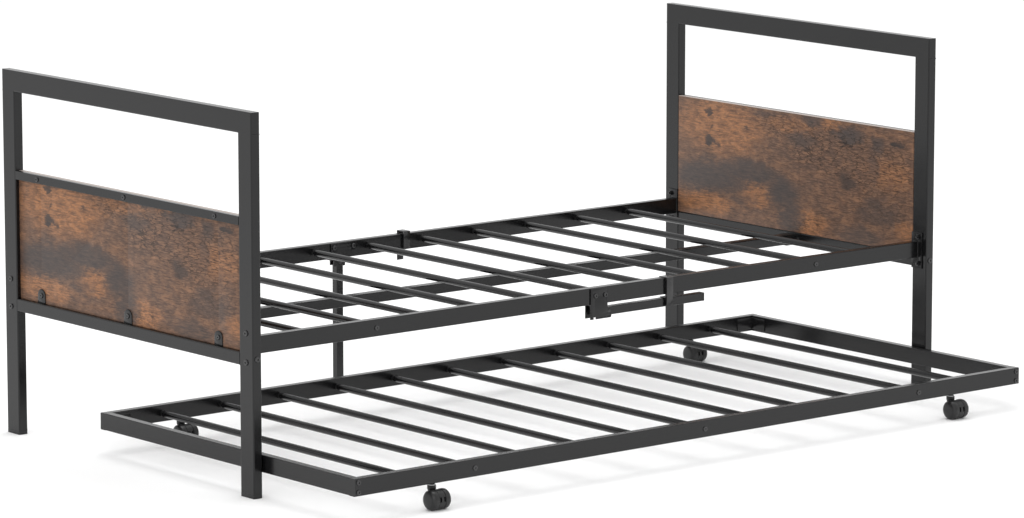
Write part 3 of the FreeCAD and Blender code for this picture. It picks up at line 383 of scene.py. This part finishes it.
def scorched_board():
    finish = Finish("scorched_board", Specular_IOR_Level=0.3)
    place = finish.add("SeparateXYZ", Vector=finish.position())
    along_board, up_board = place.outputs["Y"], place.outputs["Z"]
    flat = finish.add("CombineXYZ", Y=along_board, Z=up_board).outputs["Vector"]

    def streaks(along, up, scale, detail=4.0, roughness=0.55, distortion=0.0):
        stretch = finish.add("Mapping", Vector=flat)
        stretch.inputs["Scale"].default_value = (1.0, along, up)
        return finish.noise(stretch.outputs["Vector"], scale, detail, roughness, distortion)

    slow = streaks(along=0.6, up=1.4, scale=7.0, detail=5.0, roughness=0.6, distortion=0.8)
    ragged = streaks(along=0.8, up=1.6, scale=26.0, detail=6.0, roughness=0.65, distortion=0.4)
    mottle = streaks(along=0.55, up=1.5, scale=75.0, detail=5.0, roughness=0.75, distortion=0.6)
    grain = streaks(along=0.07, up=1.0, scale=300.0, detail=3.0, roughness=0.6)
    hair = streaks(along=0.05, up=1.0, scale=900.0, detail=2.0, roughness=0.5)
    along = Value(finish, along_board) + (slow - 0.5) * 0.10 + (ragged - 0.5) * 0.06
    up = Value(finish, up_board) + (ragged - 0.5) * 0.045 + (mottle - 0.5) * 0.03

    smoke = patches(along, up, SMOKE, softness=0.9)
    knots = patches(along, up, KNOTS, softness=0.5)
    embers = patches(along, up, EMBERS, softness=0.95)

    stretch = finish.add("Mapping", Vector=flat)
    stretch.inputs["Scale"].default_value = (1.0, 0.42, 1.7)
    wander = finish.add("TexNoise", Vector=stretch.outputs["Vector"], Scale=70.0)
    push = (0.0, 0.02, 0.02)
    bent = finish.add("VectorMath", {"operation": "MULTIPLY_ADD"})
    terms = (wander.outputs["Color"], push, stretch.outputs["Vector"])
    for socket, term in zip(bent.inputs, terms):
        finish.connect(socket, term)
    to_edge = {"feature": "DISTANCE_TO_EDGE"}
    net = finish.add("TexVoronoi", to_edge, Vector=bent.outputs["Vector"], Scale=80.0)
    crack_line = 1.0 - Value(finish, net.outputs["Distance"]).step(0.0, 0.11)
    crazed = patches(along, up, CRAZED, softness=0.9)
    cracks = crack_line * (0.15 + crazed) * ragged.step(0.3, 0.55) * (0.5 + mottle)

    brown = finish.blend(ragged.step(0.35, 0.68), PLANK_DARK, PLANK_PALE)
    warm = finish.blend(embers * (0.25 + ragged * 0.7), brown, EMBER)
    mottled = finish.blend(mottle.step(0.40, 0.62) * 0.6, warm, MOTTLE)
    streaked = finish.blend(grain.step(0.46, 0.66) * 0.6, mottled, GRAIN_LINE)
    lit = finish.blend(hair.step(0.50, 0.72) * 0.4, streaked, PALE_HAIR)
    smoky = finish.blend(smoke * (0.5 + ragged * 0.45), lit, SMOKE_GREY)
    knotted = finish.blend(knots * 0.85, smoky, KNOT_GREY)
    cracked = finish.blend(cracks.smaller(0.9), knotted, CRACK)
    # Painted highlight: the top millimetre of the board is blended to pale grey for the light
    # falling on its top.
    edge = Value(finish, up_board).step(TOP_EDGE_FROM, TOP_EDGE_FULL)
    finish.feed(Base_Color=finish.blend(edge, cracked, PAINTED_TOP_HIGHLIGHT))
    finish.feed(Roughness=0.44 + mottle * 0.12)
    finish.bump(grain * 0.3 + hair * 0.2 - cracks * 0.8 - knots * 0.2, BOARD_RELIEF)
    return finish.material


# %% [markdown]
# ## Moulded plastic and plated steel
# The casters, feet and slat plugs are injection-moulded black plastic: a fine spark-eroded grain
# and a soft sheen.  The caster stems and axles are bright zinc plate, which is never quite even, so
# its roughness wanders.  Screws, bolts, nuts, pivot pins and spring clips are blackened steel.

# %% Plastic, zinc and blackened steel
SPARK_GRAIN = 0.04 * MM
BRUSH_MARKS = 0.02 * MM
BLACKENING = 0.03 * MM


def moulded_plastic(name, colour, roughness):
    finish = Finish(name, Specular_IOR_Level=0.45)
    spark = finish.noise(finish.position(), scale=1500.0, detail=2.0)
    flow = finish.noise(finish.stretched((30.0, 30.0, 60.0)), scale=1.0, detail=2.0)
    darker, paler = tones(colour, 0.1)
    finish.feed(Base_Color=finish.blend(flow, darker, paler))
    finish.feed(Roughness=flow * 0.1 + (roughness - 0.05))
    finish.bump(spark, SPARK_GRAIN)
    return finish.material


def zinc_plate():
    finish = Finish("bright_zinc", Metallic=1.0)
    cloud = finish.noise(finish.position(), scale=160.0, detail=3.0)
    brushed = finish.noise(finish.stretched((900.0, 900.0, 60.0)), scale=1.0, detail=2.0)
    finish.feed(Base_Color=finish.blend(cloud, rgb(200, 202, 206), rgb(230, 230, 228)))
    finish.feed(Roughness=cloud * 0.14 + brushed * 0.08 + 0.10)
    finish.bump(brushed, BRUSH_MARKS)
    return finish.material


def blackened_steel():
    finish = Finish("blackened_steel", Specular_IOR_Level=0.7)
    cloud = finish.noise(finish.position(), scale=240.0, detail=3.0)
    finish.feed(Base_Color=finish.blend(cloud.step(0.35, 0.7), rgb(14, 14, 15), rgb(26, 26, 27)))
    finish.feed(Roughness=cloud * 0.16 + 0.16)
    finish.bump(cloud, BLACKENING)
    return finish.material


finishes = {
    "steel_frame": powder_coat("charcoal_powder_coat", (15, 15, 16), 0.22),
    "wood_panel": scorched_board(),
    "black_plastic": moulded_plastic("moulded_black", (20, 20, 21), 0.42),
    "caster_wheel": moulded_plastic("wheel_black", (20, 20, 21), 0.34),
    "bright_steel": zinc_plate(),
    "dark_bolts": blackened_steel(),
}
for name, thing in nodes.items():
    thing.data.materials.clear()
    thing.data.materials.append(finishes[slot_of[name]])
print("finishes:", ", ".join(finishes))

# %% [markdown]
# ## The floor
# A matt white sweep with a barely visible drift in its tone, so that it doesn't look like a void.

# %% Floor paint
def floor_paint():
    finish = Finish("floor_paint", Roughness=0.9, Specular_IOR_Level=0.1)
    drift = finish.noise(finish.position(), scale=0.4, detail=2.0)
    finish.feed(Base_Color=finish.blend(drift, rgb(252, 252, 252), rgb(255, 255, 255)))
    return finish.material


floor.data.materials.append(floor_paint())

# %% [markdown]
# ## New pieces
# A piece made here sits at the origin with its place in its mesh, rides on the body that carries
# it, and takes the finish of a slot.  `piece` does those things once for all of them.

# %% Finished pieces
CREASE = math.radians(35)


def piece(name, shape, body, slot, replaced=(), smooth=True):
    """Turn a bmesh into a finished object that rides on a body."""
    bmesh.ops.recalc_face_normals(shape, faces=shape.faces)
    if smooth:
        for face in shape.faces:
            face.smooth = True
    mesh = bpy.data.meshes.new(name)
    shape.to_mesh(mesh)
    shape.free()
    mesh.materials.append(finishes[slot])
    mesh.set_sharp_from_angle(angle=CREASE)
    thing = bpy.data.objects.new(name, mesh)
    scene.collection.objects.link(thing)
    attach(thing, body)
    if replaced:
        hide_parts(*replaced)
    print(name, len(mesh.polygons), "faces, rides on", body)
    return thing


# %% [markdown]
# ## Eased edges
# Sheet steel that has been pressed, a sawn board and a moulded block never have a knife edge, and
# it is the rounded edge that catches a line of light.  The plain pieces keep their exact shape and
# get that edge: a copy of each is merged into one skin, its flat faces are made whole again, and
# the sharp edges are bevelled by a few tenths of a millimetre, or by a whole one on the feet.  A
# face with nothing but sharp edges is a flat one and stays flat-shaded, or the shading of its rim
# would spread right across it.

# %% Ease the plain pieces
SHARP = math.radians(28)
FLAT = math.radians(1)
SAME_SPOT = 0.01 * MM
EASED_MM = {
    "left_end_wood_panel": 0.8, "right_end_wood_panel": 0.8, "foot_caps": 1.0, "panel_tabs": 0.4,
    "rail_end_plates": 0.5, "beam_brackets": 0.4, "front_leg_bracket": 0.6, "rear_leg_bracket": 0.6,
    "front_leg_clip": 0.35, "rear_leg_clip": 0.35, "front_leg_foot": 1.0, "rear_leg_foot": 1.0,
    "trundle_corner_brackets": 0.4,
}


def eased(node, width):
    """A copy of a plain piece with its sharp edges rounded."""
    shape = bmesh.new()
    shape.from_mesh(nodes[node].data)
    bmesh.ops.remove_doubles(shape, verts=shape.verts, dist=SAME_SPOT)
    bmesh.ops.dissolve_limit(shape, angle_limit=FLAT, verts=shape.verts, edges=shape.edges)
    sharp = [edge for edge in shape.edges if edge.is_manifold and edge.calc_face_angle() > SHARP]
    for face in shape.faces:
        face.smooth = any(edge not in sharp for edge in face.edges)
    rounded = bmesh.ops.bevel(
        shape, geom=sharp, offset=width, segments=2, profile=0.5,
        affect="EDGES", material=-1, clamp_overlap=True,
    )["faces"]
    for face in rounded:
        face.smooth = True
    many_sided = [face for face in shape.faces if len(face.verts) > 4]
    bmesh.ops.triangulate(shape, faces=many_sided)
    return piece(node + "_eased", shape, body_of[node], slot_of[node], (node,), smooth=False)


for node, width in EASED_MM.items():
    eased(node, width * MM)

# %% [markdown]
# ## Casters
# Each caster is a pair of domed wheels on one axle with a hood between them, turning on a steel
# stem.  All of it is round, so each part is half of its section, turned once about its own line
# with the spin operator.  The corners of the wheels are then rounded with a bevel, and two slots
# are pushed into the front of the hood with an inset.

# %% Turned shapes
TURN_STEPS = 48


def turned(outline, place, axis, closed=True):
    """Turn an outline, of millimetres (along the axis, out from it), about an axis at a place."""
    shape = bmesh.new()
    line = Vector(axis)
    out = Vector((0.0, 0.0, 1.0)) if line.x else Vector((1.0, 0.0, 0.0))
    corners = [shape.verts.new(place + (line * far + out * reach) * MM) for far, reach in outline]
    pairs = list(zip(corners, corners[1:] + corners[:1]))
    for first, second in pairs if closed else pairs[:-1]:
        shape.edges.new((first, second))
    bmesh.ops.spin(
        shape, geom=shape.verts[:] + shape.edges[:], cent=place, axis=line,
        angle=math.tau, steps=TURN_STEPS, use_merge=True,
    )
    bmesh.ops.remove_doubles(shape, verts=shape.verts, dist=SAME_SPOT)
    bmesh.ops.recalc_face_normals(shape, faces=shape.faces)
    return shape


def join_into(shape, other):
    """Add one bmesh to another."""
    mesh = bpy.data.meshes.new("joined")
    other.to_mesh(mesh)
    other.free()
    shape.from_mesh(mesh)
    bpy.data.meshes.remove(mesh)


# %% [markdown]
# ## Wheels
# The wheel is a solid moulding with a blind hole for the axle.  Each row of the outline is a corner
# of its section: out from the middle of the caster, and out from the axle.  The corners well away
# from the axle are rounded, and the ones at its hole are left alone.

# %% Twin wheels
WHEEL_OUTLINE = [
    (27.0, 0.0), (26.8, 9.0), (26.1, 15.0), (24.6, 19.2), (21.6, 22.0), (17.5, 23.0), (10.0, 23.0),
    (9.2, 22.2), (9.0, 20.0), (9.0, 3.1), (23.1, 3.1), (23.1, 0.0),
]
SHOULDER = 0.7 * MM
RIM_BEND = math.radians(10)
CLEAR_OF_AXLE = 8.0 * MM


def twin_wheels(name):
    """Both wheels of one caster, as one piece that spins on the axle."""
    low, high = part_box(f"{name}_caster_wheels")
    middle = (low + high) / 2
    both = bmesh.new()
    for hand in (-1.0, 1.0):
        wheel = turned(WHEEL_OUTLINE, middle, (hand, 0.0, 0.0), closed=False)
        rims = [
            edge for edge in wheel.edges
            if edge.is_manifold and edge.calc_face_angle() > RIM_BEND
            and min((vert.co - middle).yz.length for vert in edge.verts) > CLEAR_OF_AXLE
            and abs((edge.verts[0].co - edge.verts[1].co).x) < SAME_SPOT
        ]
        bmesh.ops.bevel(
            wheel, geom=rims, offset=SHOULDER, segments=3, profile=0.5,
            affect="EDGES", material=-1, clamp_overlap=True,
        )
        join_into(both, wheel)
    plain = (f"{name}_caster_wheels",)
    return piece(f"{name}_twin_wheels", both, f"{name}_wheels", "caster_wheel", plain)


# %% [markdown]
# ## Hood
# The hood between the wheels is a drum turned about the axle, under a neck turned about the stem.
# The drum's outline has extra points where the slots begin and end, so that whole faces of it can
# be pushed in: the ones in front, at the slots' height and on the rim.

# %% Hood, neck and collar
HOOD_OUTLINE = [
    (-8.7, 3.1), (-8.7, 21.6), (-8.1, 22.3), (-7.6, 22.3), (-3.2, 22.3), (3.2, 22.3), (7.6, 22.3),
    (8.1, 22.3), (8.7, 21.6), (8.7, 3.1),
]
NECK_OUTLINE = [
    (26.0, 5.1), (26.0, 8.6), (40.5, 8.6), (44.5, 9.8), (46.0, 10.0), (52.1, 10.0), (52.7, 9.4),
    (52.7, 5.1),
]
COLLAR_RADIUS = 10.0 * MM
SLOT_LOW, SLOT_HIGH = -3.0 * MM, 9.0 * MM
SLOT_INNER, SLOT_OUTER = 3.2 * MM, 7.6 * MM
SLOT_DEEP, SLOT_DRAFT = 5.0 * MM, 0.3 * MM
HOOD_RIM = 21.5 * MM


def stem_place(name):
    """The point on the floor under a caster's stem."""
    low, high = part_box(f"{name}_caster_housing")
    middle = (low + high) / 2
    return Vector((middle.x, high.y - COLLAR_RADIUS, 0.0))


def hood(name):
    """The moulding between the wheels: a drum with two slots in its front, and the neck over it."""
    wheel_low, wheel_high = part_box(f"{name}_caster_wheels")
    axle = (wheel_low + wheel_high) / 2
    stem = stem_place(name)
    shape = turned(HOOD_OUTLINE, axle, (1.0, 0.0, 0.0))
    slots = []
    for face in shape.faces:
        spot = face.calc_center_median() - axle
        in_front = spot.y < 0.0 and SLOT_LOW < spot.z < SLOT_HIGH and spot.yz.length > HOOD_RIM
        if in_front and SLOT_INNER < abs(spot.x) < SLOT_OUTER:
            slots.append(face)
    bmesh.ops.inset_region(
        shape, faces=slots, thickness=SLOT_DRAFT, depth=-SLOT_DEEP, use_even_offset=True,
    )
    join_into(shape, turned(NECK_OUTLINE, stem, (0.0, 0.0, 1.0)))
    plain = (f"{name}_caster_housing",)
    return piece(f"{name}_hood", shape, f"{name}_caster", "black_plastic", plain)


CASTERS = ("front_left", "front_right", "rear_left", "rear_right")
for name in CASTERS:
    twin_wheels(name)
    hood(name)

# %% [markdown]
# ## Caster stems
# The stem is a plain steel pin with a rolled flange that spreads the load under the rail.  Light
# runs down the flare of that flange in one bright line, so it is turned with its true waist.

# %% Stems
STEM_OUTLINE = [
    (30.0, 0.0), (30.0, 5.0), (53.0, 5.0), (53.0, 8.4), (53.4, 9.0), (54.2, 9.0), (54.8, 8.2),
    (55.6, 7.0), (57.0, 6.3), (57.0, 5.0), (90.0, 5.0), (90.0, 0.0),
]

stems = bmesh.new()
for name in CASTERS:
    join_into(stems, turned(STEM_OUTLINE, stem_place(name), (0.0, 0.0, 1.0), closed=False))
piece("turned_stems", stems, "trundle", "bright_steel", ("caster_stems",))

# %% [markdown]
# ## Weld beads
# The rails are welded to their end plates, and the top bars and crossbars to the posts.  A bead is
# a row of overlapping ripples, one for each pulse of the arc.  It starts as a thin rod, cut into
# rings, and every other ring is drawn in a little.

# %% Weld beads
BEAD = 1.3 * MM
BEAD_SIDES = 8
RIPPLE = 1.6 * MM
PINCH = 0.80
beads = bmesh.new()


def bead(start, end):
    """One rippled rod between two points."""
    run = end - start
    rings = max(2, round(run.length / RIPPLE))
    rod = bmesh.new()
    bmesh.ops.create_cone(
        rod, cap_ends=True, segments=BEAD_SIDES, radius1=BEAD, radius2=BEAD, depth=run.length,
    )
    long_edges = [
        edge for edge in rod.edges if abs((edge.verts[0].co - edge.verts[1].co).z) > SAME_SPOT
    ]
    bmesh.ops.subdivide_edges(rod, edges=long_edges, cuts=rings - 1)
    for vert in rod.verts:
        step = round((vert.co.z / run.length + 0.5) * rings)
        if step % 2 == 0:
            vert.co.x *= PINCH
            vert.co.y *= PINCH
    turn = run.to_track_quat("Z", "Y").to_matrix().to_4x4()
    bmesh.ops.transform(rod, matrix=Matrix.Translation((start + end) / 2) @ turn, verts=rod.verts)
    join_into(beads, rod)


for rail in ("front_side_rail", "rear_side_rail"):
    low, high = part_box(rail)
    for x in (low.x, high.x):
        for z in (low.z, high.z):
            bead(Vector((x, low.y + BEAD, z)), Vector((x, high.y - BEAD, z)))
        for y in (low.y, high.y):
            bead(Vector((x, y, low.z + BEAD)), Vector((x, y, high.z - BEAD)))
for side in ("left", "right"):
    for bar in ("top_bar", "upper_crossbar", "lower_crossbar"):
        low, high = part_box(f"{side}_end_{bar}")
        for y in (low.y, high.y):
            bead(Vector((low.x + BEAD, y, low.z)), Vector((high.x - BEAD, y, low.z)))
piece("weld_beads", beads, "bed_frame", "steel_frame")
